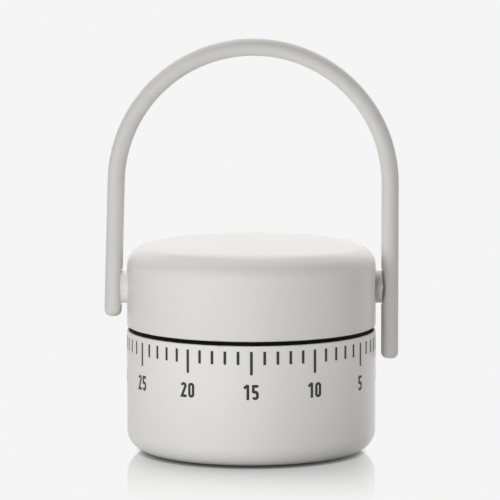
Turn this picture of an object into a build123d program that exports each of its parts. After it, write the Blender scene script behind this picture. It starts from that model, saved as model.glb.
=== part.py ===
"""Wind-up kitchen timer.

A two-part metal drum stands on a rubber foot. The upper drum turns on the lower one to set the time,
and a handle of bent rod swings in it; the handle's long leg points at the scale. A spring movement
with its wheel train, escapement and bell sits in the lower drum.

Millimetres. Origin at the bottom centre, +Z up, the front is -Y, the scale's zero is at +X.
"""

import os
from math import acos, asin, atan2, cos, degrees, dist, radians, sin, tan

from build123d import *

os.makedirs("parts", exist_ok=True)

# Fits and plays
run_fit = 0.05
seat_fit = 0.02
end_play = 0.2

# Wheel train; a tooth form is addendum, dedendum and half tip thickness, in modules
wheel_teeth = 36
pinion_leaves = 6
great_module = 0.8
second_module = 0.66
third_module = 0.56
wheel_form = (0.8, 1.5, 0.28)
pinion_form = (0.5, 1.5, 0.2)
great_wall = 1.2
wheel_wall = 0.8
leaf_overhang = 0.4
arbor_square = 1.4
pivot_radius = 0.6
pivot_overhang = 0.3
second_wheel_rise = 12.2
third_wheel_rise = 10.5
third_clearance = 3.0
spoke_count = 4
spoke_width = 1.6
wheel_rim = 2.4
wheel_hub = 2.8

# Escapement
escape_teeth = 15
escape_radius = 6.0
escape_root = 4.6
escape_rake = 0.3
escape_rise = 4.4
escape_clearance = 1.6
verge_distance = 8.0
verge_bearing = 75.0
pallet_angle = 30.0
pallet_width = 0.7
pallet_gap = 0.35
pallet_drop = 0.2
verge_wall = 0.8
verge_hub = 1.7
balance_length = 11.0
balance_width = 1.4
balance_end_length = 2.0
balance_end_width = 2.4
balance_wall = 1.0
balance_lift = 1.4

# Main arbor, mainspring and click work
spring_floor = 1.0
strip_width = 5.0
strip_thickness = 0.5
spring_turn_gap = 2.1
spring_arcs = 7
spring_hub_gap = 0.1
spring_tongue = 0.9
hook_sweep = 210.0
post_radius = 1.1
post_gap = 0.1
barrel_radius = 3.2
stack_square = 3.5
journal_radius = 1.7
drive_square = 2.4
main_pivot_radius = 1.5
main_pivot_length = 1.8
cam_wall = 0.8
cam_gap = 0.8
cam_notch_depth = 1.6
cam_notch_width = 3.0
ratchet_teeth = 12
ratchet_radius = 6.0
ratchet_root = 4.8
ratchet_rake = 0.1
ratchet_wall = 1.0
collar_radius = 4.0
collar_wall = 0.6
click_bearing = 140.0
click_circle_radius = 9.4
click_half = 1.5
click_tip_gap = 0.15
click_stud_radius = 0.7
click_spring_wall = 0.4
click_spring_reach = 5.0
click_spring_foot = 1.6

# Hammer and bell
star_points = 8
star_radius = 3.0
star_root = 2.0
star_rise = 2.6
star_wall = 1.0
hammer_circle_radius = 19.5
hammer_bearing = -24.0
hammer_sleeve_radius = 1.7
hammer_stud_radius = 0.8
hammer_arm_width = 1.8
hammer_arm_wall = 0.8
tail_wall = 0.5
follower_gap = 0.5
tail_gap = 0.4
strike_bearing = -60.0
strike_gap = 0.9
hammer_wire_radius = 0.5
hammer_wire_play = 1.3
hammer_head_radius = 1.3
hammer_head_height = 2.0
hammer_head_drop = 1.0
bell_radius = 21.8
bell_wall = 0.8
bell_height = 7.5
bell_bevel = 3.0
bell_post_radius = 5.0
bell_post_height = 0.8
bell_headroom = 2.0
stud_radius = 1.5
stud_proud = 0.6
nut_radius = 3.0
nut_height = 2.0

# Movement frame
plate_wall = 1.0
plate_gap = 14.0
wheel_margin = 1.8
pillar_inset = 2.0
pillar_radius = 1.6
pillar_rivet_radius = 0.9
pillar_bearings = (130.0, 220.0, 310.0)
stop_bearing = 180.0
stop_circle_radius = 24.0
stop_post_wall = 1.8
stop_post_height = 4.0
stop_lug_wall = 1.8
stop_lug_length = 4.0
stop_gap = 0.1
stop_lap = 1.6

# Carrier, shells and foot
plate_clearance = 0.8
carrier_wall = 2.2
carrier_floor_wall = 2.0
carrier_clearance = 0.4
shelf_width = 3.8
shelf_wall = 1.5
hook_count = 3
hook_start = 80.0
hook_width = 4.0
hook_lap = 0.8
hook_wall = 1.2
shell_wall = 1.6
shell_edge = 6.0
shell_inner_bevel = 4.0
movement_headroom = 6.6
neck_rise = 3.0
seam_gap = 1.2
flange_recess = 0.5
cap_height = 23.2
foot_stand = 0.6
pad_recess = 0.3
pad_land = 1.4
pad_clearance = 0.2

# Top drive
drive_play = 0.7
drive_wall = 2.2
hub_radius = 6.0
hub_grip = 6.2
rib_count = 3
rib_wall = 1.6
rib_height = 2.2

# Handle and its pivots
rod_diameter = 5.0
rod_gap = 1.6
rod_end_round = 1.8
leg_rise = 29.9
leg_lean = 1.6
pivot_rise = 11.1
short_tail = 8.5
pointer_tail = 20.95
boss_radius = 4.7
boss_proud = 1.8
spot_margin = 0.5
pin_radius = 1.5
pin_head_gap = 0.2
pin_bite = 3.0
pin_head_radius = 2.8
pin_head_height = 1.75


def polar(radius, bearing, centre=(0, 0)):
    """The point at a radius and a bearing in degrees from a centre."""
    return (
        centre[0] + radius * cos(radians(bearing)),
        centre[1] + radius * sin(radians(bearing)),
    )


def bearing_to(start, end):
    """The bearing in degrees from one point to another."""
    return degrees(atan2(end[1] - start[1], end[0] - start[0]))


def triangle_angle(side_a, side_b, opposite):
    """The angle in degrees between two sides of a triangle."""
    return degrees(acos((side_a**2 + side_b**2 - opposite**2) / (2 * side_a * side_b)))


def toothed(teeth, module, form, first):
    """Corners of a toothed wheel, three to a tooth, with a tooth's middle at the bearing first."""
    addendum, dedendum, tip_half = form
    tip = (teeth / 2 + addendum) * module
    root = (teeth / 2 - dedendum) * module
    lean = degrees(tip_half * module / tip)
    corners = []
    for tooth in range(teeth):
        middle = first + 360 * tooth / teeth
        corners.append(polar(root, middle - 180 / teeth))
        corners.append(polar(tip, middle - lean))
        corners.append(polar(tip, middle + lean))
    return corners


def starred(points, tip, root, rake):
    """Corners of a star or saw wheel; rake places each root between two tips."""
    step = 360 / points
    corners = []
    for point in range(points):
        corners.append(polar(tip, step * point))
        corners.append(polar(root, step * (point + rake)))
    return corners


def crossing(outer, number):
    """Corners of one window between two spokes of a wheel."""
    step = 360 / spoke_count
    corners = []
    for radius, side in ((wheel_hub, -1), (outer, -1), (outer, 1), (wheel_hub, 1)):
        half = step / 2 - degrees(asin(spoke_width / 2 / radius))
        corners.append(polar(radius, step * (number + 1 / 2) + side * half))
    return corners


# Train layout
great_radius = (wheel_teeth / 2 + wheel_form[0]) * great_module
second_radius = (wheel_teeth / 2 + wheel_form[0]) * second_module
third_radius = (wheel_teeth / 2 + wheel_form[0]) * third_module
pinion_reach = (pinion_leaves / 2 + pinion_form[0]) * great_module
second_orbit = (wheel_teeth + pinion_leaves) * great_module / 2
third_reach = (wheel_teeth + pinion_leaves) * second_module / 2
escape_reach = (wheel_teeth + pinion_leaves) * third_module / 2
third_orbit = great_radius + third_clearance
escape_orbit = great_radius + escape_radius + escape_clearance
third_bearing = triangle_angle(second_orbit, third_orbit, third_reach)
escape_bearing = third_bearing + triangle_angle(third_orbit, escape_orbit, escape_reach)
second_place = polar(second_orbit, 0)
third_place = polar(third_orbit, third_bearing)
escape_place = polar(escape_orbit, escape_bearing)
verge_place = polar(verge_distance, escape_bearing + verge_bearing, escape_place)
second_to_third = bearing_to(second_place, third_place)
third_to_escape = bearing_to(third_place, escape_place)
gap_turn = 180 + 180 / pinion_leaves

# Radii, from the train outwards
plate_radius = second_orbit + second_radius + wheel_margin
pillar_orbit = plate_radius - pillar_inset
pillar_places = [polar(pillar_orbit, b) for b in (third_bearing / 2, *pillar_bearings)]
carrier_inner = plate_radius + plate_clearance
carrier_outer = carrier_inner + carrier_wall
shelf_inner = carrier_inner - shelf_width
shell_inner = carrier_outer + carrier_clearance
shell_radius = shell_inner + shell_wall
rod_radius = rod_diameter / 2
leg_centre = shell_radius + rod_gap + rod_radius
pad_radius = shell_radius - shell_edge - pad_land - pad_clearance
flange_radius = shell_radius - flange_recess

# Levels, from the table upwards
cup_under = foot_stand
cup_floor = cup_under + shell_wall
pad_top = cup_under + pad_recess
carrier_deck = cup_floor + carrier_floor_wall
bell_seat = carrier_deck + bell_post_height
nut_seat = bell_seat + bell_wall
bell_mouth = bell_seat + bell_height
shelf_under = bell_mouth + bell_headroom
plate_seat = shelf_under + shelf_wall
plate_top = plate_seat + plate_wall
upper_under = plate_top + plate_gap
upper_top = upper_under + plate_wall
neck_top = upper_top + movement_headroom
cup_rim = neck_top - neck_rise
cap_rim = cup_rim + seam_gap
cap_top = cap_rim + cap_height
flange_under = cup_rim + seat_fit
flange_top = cap_rim - end_play
cap_ceiling = cap_top - shell_wall
drive_under = neck_top + drive_play
drive_top = drive_under + drive_wall
arbor_top = drive_under + hub_grip
arbor_foot = plate_top + end_play
arbor_length = plate_gap - 2 * end_play
pivot_foot = plate_seat - pivot_overhang
pivot_length = plate_gap + 2 * plate_wall + 2 * pivot_overhang
spring_level = plate_top + spring_floor
cam_level = spring_level + strip_width + 2 * end_play
great_level = cam_level + cam_wall
great_top = great_level + great_wall
ratchet_top = great_top + ratchet_wall
collar_top = ratchet_top + collar_wall
second_wheel_level = plate_top + second_wheel_rise
third_wheel_level = plate_top + third_wheel_rise
escape_level = plate_top + escape_rise
star_level = plate_top + star_rise
verge_level = escape_level + wheel_wall + leaf_overhang
balance_level = verge_level + verge_wall + balance_lift
sleeve_top = great_level - end_play
pivot_level = cap_rim + pivot_rise
arch_level = pivot_level + leg_rise

# Lower drum: a pressed shell with a rolled edge, a recess for the foot and a stud welded inside
with BuildPart() as base_cup:
    with BuildSketch(Plane.XZ):
        with BuildLine():
            Polyline(
                (shell_radius, cup_under + shell_edge),
                (shell_radius, cup_rim),
                (shell_inner, cup_rim),
                (shell_inner, cup_floor + shell_inner_bevel),
                (shell_inner - shell_inner_bevel, cup_floor),
                (stud_radius, cup_floor),
                (stud_radius, nut_seat + nut_height + stud_proud),
                (0, nut_seat + nut_height + stud_proud),
                (0, pad_top),
                (pad_radius + pad_clearance, pad_top),
                (pad_radius + pad_clearance, cup_under),
                (shell_radius - shell_edge, cup_under),
            )
            CenterArc((shell_radius - shell_edge, cup_under + shell_edge), shell_edge, -90, 90)
        make_face()
    revolve()
base_cup.part.label = "base_cup"
export_step(base_cup.part, "parts/base_cup.step")

# Rubber foot under the lower drum
with BuildPart() as foot_pad:
    with BuildSketch(Plane.XY):
        Circle(pad_radius)
    extrude(amount=pad_top)
foot_pad.part.label = "foot_pad"
export_step(foot_pad.part, "parts/foot_pad.step")

# Moulded carrier: bell post, shelf and snap hooks for the movement, a neck that guides the upper
# drum, and a flange on the lower drum's rim that fills the seam
carrier_bevel = shell_inner_bevel + carrier_clearance
with BuildPart() as movement_carrier:
    with BuildSketch(Plane.XZ):
        with BuildLine():
            Polyline(
                (stud_radius + run_fit, cup_floor),
                (carrier_outer - carrier_bevel, cup_floor),
                (carrier_outer, cup_floor + carrier_bevel),
                (carrier_outer, flange_under),
                (flange_radius, flange_under),
                (flange_radius, flange_top),
                (carrier_outer, flange_top),
                (carrier_outer, neck_top),
                (carrier_inner, neck_top),
                (carrier_inner, plate_seat),
                (shelf_inner, plate_seat),
                (shelf_inner, shelf_under),
                (carrier_inner, shelf_under - shelf_width),
                (carrier_inner, carrier_deck + carrier_bevel),
                (carrier_inner - carrier_bevel, carrier_deck),
                (bell_post_radius, carrier_deck),
                (bell_post_radius, bell_seat),
                (stud_radius + run_fit, bell_seat),
                close=True,
            )
        make_face()
    revolve()
    with BuildSketch(Plane.XY.offset(plate_top)):
        with PolarLocations(carrier_inner, hook_count, hook_start):
            Rectangle(2 * (plate_clearance + hook_lap), hook_width)
    extrude(amount=hook_wall)
movement_carrier.part.label = "movement_carrier"
export_step(movement_carrier.part, "parts/movement_carrier.step")

# Bell: a steel cup, mouth up, on the carrier's post
with BuildPart() as bell:
    with BuildSketch(Plane.XZ):
        with BuildLine():
            Polyline(
                (stud_radius + run_fit, bell_seat),
                (bell_radius - bell_bevel, bell_seat),
                (bell_radius, bell_seat + bell_bevel),
                (bell_radius, bell_mouth),
                (bell_radius - bell_wall, bell_mouth),
                (bell_radius - bell_wall, bell_seat + bell_bevel),
                (bell_radius - bell_bevel, nut_seat),
                (stud_radius + run_fit, nut_seat),
                close=True,
            )
        make_face()
    revolve()
bell.part.label = "bell"
export_step(bell.part, "parts/bell.step")

# Nut on the lower drum's stud, which holds the bell and the carrier down
with BuildPart() as bell_nut:
    with BuildSketch(Plane.XY.offset(nut_seat)):
        RegularPolygon(nut_radius, 6)
        Circle(stud_radius + seat_fit, mode=Mode.SUBTRACT)
    extrude(amount=nut_height)
bell_nut.part.label = "bell_nut"
export_step(bell_nut.part, "parts/bell_nut.step")

# Lower movement plate, with the spring's post and the hammer's stud riveted in
spring_pitch = strip_thickness + spring_turn_gap
spring_first = barrel_radius + spring_hub_gap + strip_thickness / 2
spring_last = spring_first + (spring_arcs - 1) * spring_pitch / 2
hook_radius = post_radius + post_gap + strip_thickness / 2
post_place = (-spring_last - hook_radius, 0)
hammer_place = polar(hammer_circle_radius, hammer_bearing)
strike_orbit = bell_radius - bell_wall - strike_gap - hammer_head_radius
strike_place = polar(strike_orbit, strike_bearing)
train_places = (second_place, third_place, escape_place, verge_place)
with BuildPart() as lower_plate:
    with BuildSketch(Plane.XY.offset(plate_seat)):
        Circle(plate_radius)
        Circle(main_pivot_radius + run_fit, mode=Mode.SUBTRACT)
        with Locations(*train_places):
            Circle(pivot_radius + run_fit, mode=Mode.SUBTRACT)
        with Locations(Location(strike_place, strike_bearing)):
            Rectangle(*[2 * (hammer_wire_radius + hammer_wire_play)] * 2, mode=Mode.SUBTRACT)
        with Locations(*pillar_places):
            RegularPolygon(pillar_rivet_radius + seat_fit, 6, mode=Mode.SUBTRACT)
    extrude(amount=plate_wall)
    with BuildSketch(Plane(origin=(*post_place, plate_top))):
        Circle(post_radius)
    extrude(amount=spring_level + strip_width - plate_top)
    with BuildSketch(Plane(origin=(*hammer_place, plate_top))):
        Circle(hammer_stud_radius)
    extrude(amount=sleeve_top - plate_top)
lower_plate.part.label = "lower_plate"
export_step(lower_plate.part, "parts/lower_plate.step")

# Upper movement plate, with the post that stops the top at zero and just short of a full turn
stop_place = polar(stop_circle_radius, stop_bearing)
with BuildPart() as upper_plate:
    with BuildSketch(Plane.XY.offset(upper_under)):
        Circle(plate_radius)
        Circle(journal_radius + run_fit, mode=Mode.SUBTRACT)
        with Locations(*train_places):
            Circle(pivot_radius + run_fit, mode=Mode.SUBTRACT)
        with Locations(*pillar_places):
            RegularPolygon(pillar_rivet_radius + seat_fit, 6, mode=Mode.SUBTRACT)
    extrude(amount=plate_wall)
    with BuildSketch(Plane.XY.offset(upper_top)):
        with Locations(Location(stop_place, stop_bearing)):
            Rectangle(stop_lug_length, stop_post_wall)
    extrude(amount=stop_post_height)
upper_plate.part.label = "upper_plate"
export_step(upper_plate.part, "parts/upper_plate.step")

# Hexagon pillars, riveted in both plates
with BuildPart() as plate_pillars:
    with BuildSketch(Plane.XY.offset(plate_top)):
        with Locations(*pillar_places):
            RegularPolygon(pillar_radius, 6)
    extrude(amount=plate_gap)
    with BuildSketch(Plane.XY.offset(plate_seat)):
        with Locations(*pillar_places):
            RegularPolygon(pillar_rivet_radius, 6)
    extrude(amount=plate_gap + 2 * plate_wall)
plate_pillars.part.label = "plate_pillars"
export_step(plate_pillars.part, "parts/plate_pillars.step")

# Mainspring: one strip wound in half turns, with a tongue in the arbor and a hook on the post
half_strip = strip_thickness / 2
tongue_root = spring_first - half_strip - spring_tongue


def spring_edge(offset):
    """One edge of the strip, as centre, radius, start and sweep of each arc in order."""
    arcs = []
    for half in range(spring_arcs):
        centre = ((half % 2) * spring_pitch / 2, 0)
        radius = spring_first + half * spring_pitch / 2 + offset
        arcs.append((centre, radius, 180 * (half % 2), 180))
    arcs.append((post_place, hook_radius - offset, 0, -hook_sweep))
    return arcs


with BuildPart() as mainspring:
    with BuildSketch(Plane.XY.offset(spring_level)):
        with BuildLine():
            for offset in (-half_strip, half_strip):
                for centre, radius, start, swing in spring_edge(offset):
                    CenterArc(centre, radius, start, swing)
            Line(
                polar(hook_radius - half_strip, -hook_sweep, post_place),
                polar(hook_radius + half_strip, -hook_sweep, post_place),
            )
            Polyline(
                (spring_first - half_strip, 0),
                (tongue_root, 0),
                (tongue_root, -strip_thickness),
                (spring_first + half_strip, -strip_thickness),
                (spring_first + half_strip, 0),
            )
        make_face()
    extrude(amount=strip_width)
mainspring.part.label = "mainspring"
export_step(mainspring.part, "parts/mainspring.step")

# Main arbor: pivot, spring barrel with a slot for the tongue, squared seat, journal, squared top
with BuildPart() as main_arbor:
    with BuildSketch(Plane.XY.offset(arbor_foot - main_pivot_length)):
        Circle(main_pivot_radius)
    extrude(amount=main_pivot_length)
    with BuildSketch(Plane.XY.offset(arbor_foot)):
        Circle(barrel_radius)
        with Locations((barrel_radius, -half_strip)):
            Rectangle(2 * spring_tongue, strip_thickness + 2 * spring_hub_gap, mode=Mode.SUBTRACT)
    extrude(amount=cam_level - arbor_foot)
    with BuildSketch(Plane.XY.offset(cam_level)):
        Rectangle(stack_square, stack_square)
    extrude(amount=collar_top - cam_level)
    with BuildSketch(Plane.XY.offset(collar_top)):
        Circle(journal_radius)
    extrude(amount=drive_under - collar_top)
    with BuildSketch(Plane.XY.offset(drive_under)):
        Rectangle(drive_square, drive_square)
    extrude(amount=arbor_top - drive_under)
main_arbor.part.label = "main_arbor"
export_step(main_arbor.part, "parts/main_arbor.step")

# Release cam: a disc whose notch lets the hammer go at zero
cam_radius = second_orbit - pinion_reach - cam_gap
stack_bore = stack_square + 2 * seat_fit
with BuildPart() as release_cam:
    with BuildSketch(Plane.XY.offset(cam_level)):
        Circle(cam_radius)
        Rectangle(stack_bore, stack_bore, mode=Mode.SUBTRACT)
        with Locations(Location(polar(cam_radius, hammer_bearing), hammer_bearing)):
            Rectangle(2 * cam_notch_depth, cam_notch_width, mode=Mode.SUBTRACT)
    extrude(amount=cam_wall)
release_cam.part.label = "release_cam"
export_step(release_cam.part, "parts/release_cam.step")

# Great wheel, with the click's stud riveted in
click_place = polar(click_circle_radius, click_bearing)
with BuildPart() as great_wheel:
    with BuildSketch(Plane.XY.offset(great_level)):
        with BuildLine():
            Polyline(*toothed(wheel_teeth, great_module, wheel_form, 0), close=True)
        make_face()
        Rectangle(stack_bore, stack_bore, mode=Mode.SUBTRACT)
    extrude(amount=great_wall)
    with BuildSketch(Plane(origin=(*click_place, great_top))):
        Circle(click_stud_radius)
    extrude(amount=ratchet_wall)
great_wheel.part.label = "great_wheel"
export_step(great_wheel.part, "parts/great_wheel.step")

# Ratchet wheel with saw teeth, and the collar that keeps the stack on the arbor
with BuildPart() as ratchet_wheel:
    with BuildSketch(Plane.XY.offset(great_top)):
        with BuildLine():
            Polyline(*starred(ratchet_teeth, ratchet_radius, ratchet_root, ratchet_rake), close=True)
        make_face()
        Rectangle(stack_bore, stack_bore, mode=Mode.SUBTRACT)
    extrude(amount=ratchet_wall)
ratchet_wheel.part.label = "ratchet_wheel"
export_step(ratchet_wheel.part, "parts/ratchet_wheel.step")

with BuildPart() as arbor_collar:
    with BuildSketch(Plane.XY.offset(ratchet_top)):
        Circle(collar_radius)
        Rectangle(stack_bore, stack_bore, mode=Mode.SUBTRACT)
    extrude(amount=collar_wall)
arbor_collar.part.label = "arbor_collar"
export_step(arbor_collar.part, "parts/arbor_collar.step")

# Click: a pawl on the great wheel's stud, pressed to the ratchet by a leaf spring
click_tip = polar(ratchet_radius + click_tip_gap, click_bearing - 180 / ratchet_teeth)
click_axis = bearing_to(click_place, click_tip)
with BuildPart() as click:
    with BuildSketch(Plane.XY.offset(great_top)):
        with BuildLine():
            Polyline(
                click_tip,
                polar(click_half, click_axis + 90, click_place),
                polar(click_half, click_axis + 180, click_place),
                polar(click_half, click_axis + 270, click_place),
                close=True,
            )
        make_face()
        with Locations(click_place):
            Circle(click_stud_radius + seat_fit, mode=Mode.SUBTRACT)
    extrude(amount=ratchet_wall)
click.part.label = "click"
export_step(click.part, "parts/click.step")

heel_place = polar(click_circle_radius + click_half + seat_fit + click_spring_wall / 2, click_bearing)
heel_along = polar(1, click_bearing + 90)
with BuildPart() as click_spring:
    with BuildSketch(Plane(origin=(*heel_place, great_top), x_dir=(*heel_along, 0))):
        with Locations((click_spring_reach / 2, 0)):
            Rectangle(click_spring_reach, click_spring_wall)
        with Locations((click_spring_reach, 0)):
            Rectangle(click_spring_foot, click_spring_foot)
    extrude(amount=ratchet_wall)
click_spring.part.label = "click_spring"
export_step(click_spring.part, "parts/click_spring.step")

# Train arbors: squared bar with a pinion cut on it and a round pivot at either end
with BuildPart() as second_pinion:
    with BuildSketch(Plane(origin=(*second_place, great_level - leaf_overhang))):
        with BuildLine():
            Polyline(*toothed(pinion_leaves, great_module, pinion_form, gap_turn), close=True)
        make_face()
    extrude(amount=great_wall + 2 * leaf_overhang)
    with BuildSketch(Plane(origin=(*second_place, arbor_foot))):
        Rectangle(arbor_square, arbor_square)
    extrude(amount=arbor_length)
    with BuildSketch(Plane(origin=(*second_place, pivot_foot))):
        Circle(pivot_radius)
    extrude(amount=pivot_length)
second_pinion.part.label = "second_pinion"
export_step(second_pinion.part, "parts/second_pinion.step")

with BuildPart() as third_pinion:
    with BuildSketch(Plane(origin=(*third_place, second_wheel_level - leaf_overhang))):
        with BuildLine():
            Polyline(
                *toothed(pinion_leaves, second_module, pinion_form, second_to_third + gap_turn),
                close=True,
            )
        make_face()
    extrude(amount=wheel_wall + 2 * leaf_overhang)
    with BuildSketch(Plane(origin=(*third_place, arbor_foot))):
        Rectangle(arbor_square, arbor_square)
    extrude(amount=arbor_length)
    with BuildSketch(Plane(origin=(*third_place, pivot_foot))):
        Circle(pivot_radius)
    extrude(amount=pivot_length)
third_pinion.part.label = "third_pinion"
export_step(third_pinion.part, "parts/third_pinion.step")

with BuildPart() as escape_pinion:
    with BuildSketch(Plane(origin=(*escape_place, third_wheel_level - leaf_overhang))):
        with BuildLine():
            Polyline(
                *toothed(pinion_leaves, third_module, pinion_form, third_to_escape + gap_turn),
                close=True,
            )
        make_face()
    extrude(amount=wheel_wall + 2 * leaf_overhang)
    with BuildSketch(Plane(origin=(*escape_place, arbor_foot))):
        Rectangle(arbor_square, arbor_square)
    extrude(amount=arbor_length)
    with BuildSketch(Plane(origin=(*escape_place, pivot_foot))):
        Circle(pivot_radius)
    extrude(amount=pivot_length)
escape_pinion.part.label = "escape_pinion"
export_step(escape_pinion.part, "parts/escape_pinion.step")

# Train wheels with crossed-out spokes, on the arbors' squares
arbor_bore = arbor_square + 2 * seat_fit
with BuildPart() as second_wheel:
    with BuildSketch(Plane(origin=(*second_place, second_wheel_level))):
        with BuildLine():
            Polyline(*toothed(wheel_teeth, second_module, wheel_form, second_to_third), close=True)
        make_face()
        for number in range(spoke_count):
            with BuildLine():
                Polyline(*crossing(second_radius - wheel_rim, number), close=True)
            make_face(mode=Mode.SUBTRACT)
        Rectangle(arbor_bore, arbor_bore, mode=Mode.SUBTRACT)
    extrude(amount=wheel_wall)
second_wheel.part.label = "second_wheel"
export_step(second_wheel.part, "parts/second_wheel.step")

with BuildPart() as third_wheel:
    with BuildSketch(Plane(origin=(*third_place, third_wheel_level))):
        with BuildLine():
            Polyline(*toothed(wheel_teeth, third_module, wheel_form, third_to_escape), close=True)
        make_face()
        for number in range(spoke_count):
            with BuildLine():
                Polyline(*crossing(third_radius - wheel_rim, number), close=True)
            make_face(mode=Mode.SUBTRACT)
        Rectangle(arbor_bore, arbor_bore, mode=Mode.SUBTRACT)
    extrude(amount=wheel_wall)
third_wheel.part.label = "third_wheel"
export_step(third_wheel.part, "parts/third_wheel.step")

# Escape wheel with raked teeth, and the star that lifts the hammer
with BuildPart() as escape_wheel:
    with BuildSketch(Plane(origin=(*escape_place, escape_level))):
        with BuildLine():
            Polyline(*starred(escape_teeth, escape_radius, escape_root, escape_rake), close=True)
        make_face()
        Rectangle(arbor_bore, arbor_bore, mode=Mode.SUBTRACT)
    extrude(amount=wheel_wall)
escape_wheel.part.label = "escape_wheel"
export_step(escape_wheel.part, "parts/escape_wheel.step")

with BuildPart() as strike_star:
    with BuildSketch(Plane(origin=(*second_place, star_level))):
        with BuildLine():
            Polyline(*starred(star_points, star_radius, star_root, 1 / 2), close=True)
        make_face()
        Rectangle(arbor_bore, arbor_bore, mode=Mode.SUBTRACT)
    extrude(amount=star_wall)
strike_star.part.label = "strike_star"
export_step(strike_star.part, "parts/strike_star.step")

# Verge: arbor, anchor with two pallets beside the escape wheel, and the balance bar
with BuildPart() as verge_arbor:
    with BuildSketch(Plane(origin=(*verge_place, arbor_foot))):
        Rectangle(arbor_square, arbor_square)
    extrude(amount=arbor_length)
    with BuildSketch(Plane(origin=(*verge_place, pivot_foot))):
        Circle(pivot_radius)
    extrude(amount=pivot_length)
verge_arbor.part.label = "verge_arbor"
export_step(verge_arbor.part, "parts/verge_arbor.step")

escape_to_verge = bearing_to(escape_place, verge_place)
pallet_orbit = escape_radius + pallet_gap + pallet_width / 2
pallet_bearings = (escape_to_verge - pallet_angle, escape_to_verge + pallet_angle)
pallet_foot = escape_level - pallet_drop
with BuildPart() as verge_anchor:
    with BuildSketch(Plane.XY.offset(verge_level)):
        with Locations(verge_place):
            RegularPolygon(verge_hub, 8)
        for pallet_bearing in pallet_bearings:
            pallet = polar(pallet_orbit, pallet_bearing, escape_place)
            middle = polar(dist(verge_place, pallet) / 2, bearing_to(verge_place, pallet), verge_place)
            with Locations(Location(middle, bearing_to(verge_place, pallet))):
                Rectangle(dist(verge_place, pallet) + pallet_width, 2 * pallet_width)
        with Locations(verge_place):
            Rectangle(arbor_bore, arbor_bore, mode=Mode.SUBTRACT)
    extrude(amount=verge_wall)
    with BuildSketch(Plane.XY.offset(pallet_foot)):
        for pallet_bearing in pallet_bearings:
            with Locations(Location(polar(pallet_orbit, pallet_bearing, escape_place), pallet_bearing)):
                Rectangle(pallet_width, pallet_width)
    extrude(amount=verge_level - pallet_foot)
verge_anchor.part.label = "verge_anchor"
export_step(verge_anchor.part, "parts/verge_anchor.step")

across = polar(1, bearing_to((0, 0), verge_place) + 90)
with BuildPart() as balance_bar:
    with BuildSketch(Plane(origin=(*verge_place, balance_level), x_dir=(*across, 0))):
        Rectangle(balance_length, balance_width)
        RegularPolygon(verge_hub, 8)
        with Locations((-balance_length / 2, 0), (balance_length / 2, 0)):
            Rectangle(balance_end_length, balance_end_width)
    extrude(amount=balance_wall)
    with BuildSketch(Plane(origin=(*verge_place, balance_level))):
        Rectangle(arbor_bore, arbor_bore)
    extrude(amount=balance_wall, mode=Mode.SUBTRACT)
balance_bar.part.label = "balance_bar"
export_step(balance_bar.part, "parts/balance_bar.step")

# Hammer lever: a sleeve with a follower for the star, a tail for the cam, and an arm with a wire
follower_reach = dist(hammer_place, second_place) - star_radius - follower_gap
tail_reach = hammer_circle_radius - cam_radius - tail_gap
arm_reach = dist(hammer_place, strike_place) + hammer_arm_width / 2
head_top = bell_mouth - hammer_head_drop
with BuildPart() as hammer_lever:
    with BuildSketch(Plane(origin=(*hammer_place, arbor_foot))):
        RegularPolygon(hammer_sleeve_radius, 8)
    extrude(amount=sleeve_top - arbor_foot)
    for level, wall, reach, bearing in (
        (arbor_foot, hammer_arm_wall, arm_reach, bearing_to(hammer_place, strike_place)),
        (star_level, star_wall, follower_reach, bearing_to(hammer_place, second_place)),
        (sleeve_top - tail_wall, tail_wall, tail_reach, bearing_to(hammer_place, (0, 0))),
    ):
        with BuildSketch(Plane(origin=(*hammer_place, level), x_dir=(*polar(1, bearing), 0))):
            with Locations((reach / 2, 0)):
                Rectangle(reach, hammer_arm_width)
        extrude(amount=wall)
    with BuildSketch(Plane(origin=(*strike_place, head_top))):
        Circle(hammer_wire_radius)
    extrude(amount=arbor_foot - head_top)
    with BuildSketch(Plane(origin=(*hammer_place, arbor_foot))):
        Circle(hammer_stud_radius + run_fit)
    extrude(amount=sleeve_top - arbor_foot, mode=Mode.SUBTRACT)
hammer_lever.part.label = "hammer_lever"
export_step(hammer_lever.part, "parts/hammer_lever.step")

with BuildPart() as hammer_head:
    with BuildSketch(Plane(origin=(*strike_place, head_top - hammer_head_height))):
        Circle(hammer_head_radius)
    extrude(amount=hammer_head_height)
hammer_head.part.label = "hammer_head"
export_step(hammer_head.part, "parts/hammer_head.step")

# Upper drum: a pressed shell with a rolled edge and a hole for each pivot
with BuildPart() as top_cap:
    with BuildSketch(Plane.XZ):
        with BuildLine():
            Polyline(
                (shell_radius - shell_edge, cap_top),
                (0, cap_top),
                (0, cap_ceiling),
                (shell_inner - shell_inner_bevel, cap_ceiling),
                (shell_inner, cap_ceiling - shell_inner_bevel),
                (shell_inner, cap_rim),
                (shell_radius, cap_rim),
                (shell_radius, cap_top - shell_edge),
            )
            CenterArc((shell_radius - shell_edge, cap_top - shell_edge), shell_edge, 0, 90)
        make_face()
    revolve()
    with BuildSketch(Plane(origin=(0, 0, pivot_level), z_dir=(1, 0, 0))):
        Circle(pin_radius + run_fit)
    extrude(amount=shell_radius, both=True, mode=Mode.SUBTRACT)
top_cap.part.label = "top_cap"
export_step(top_cap.part, "parts/top_cap.step")

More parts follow.
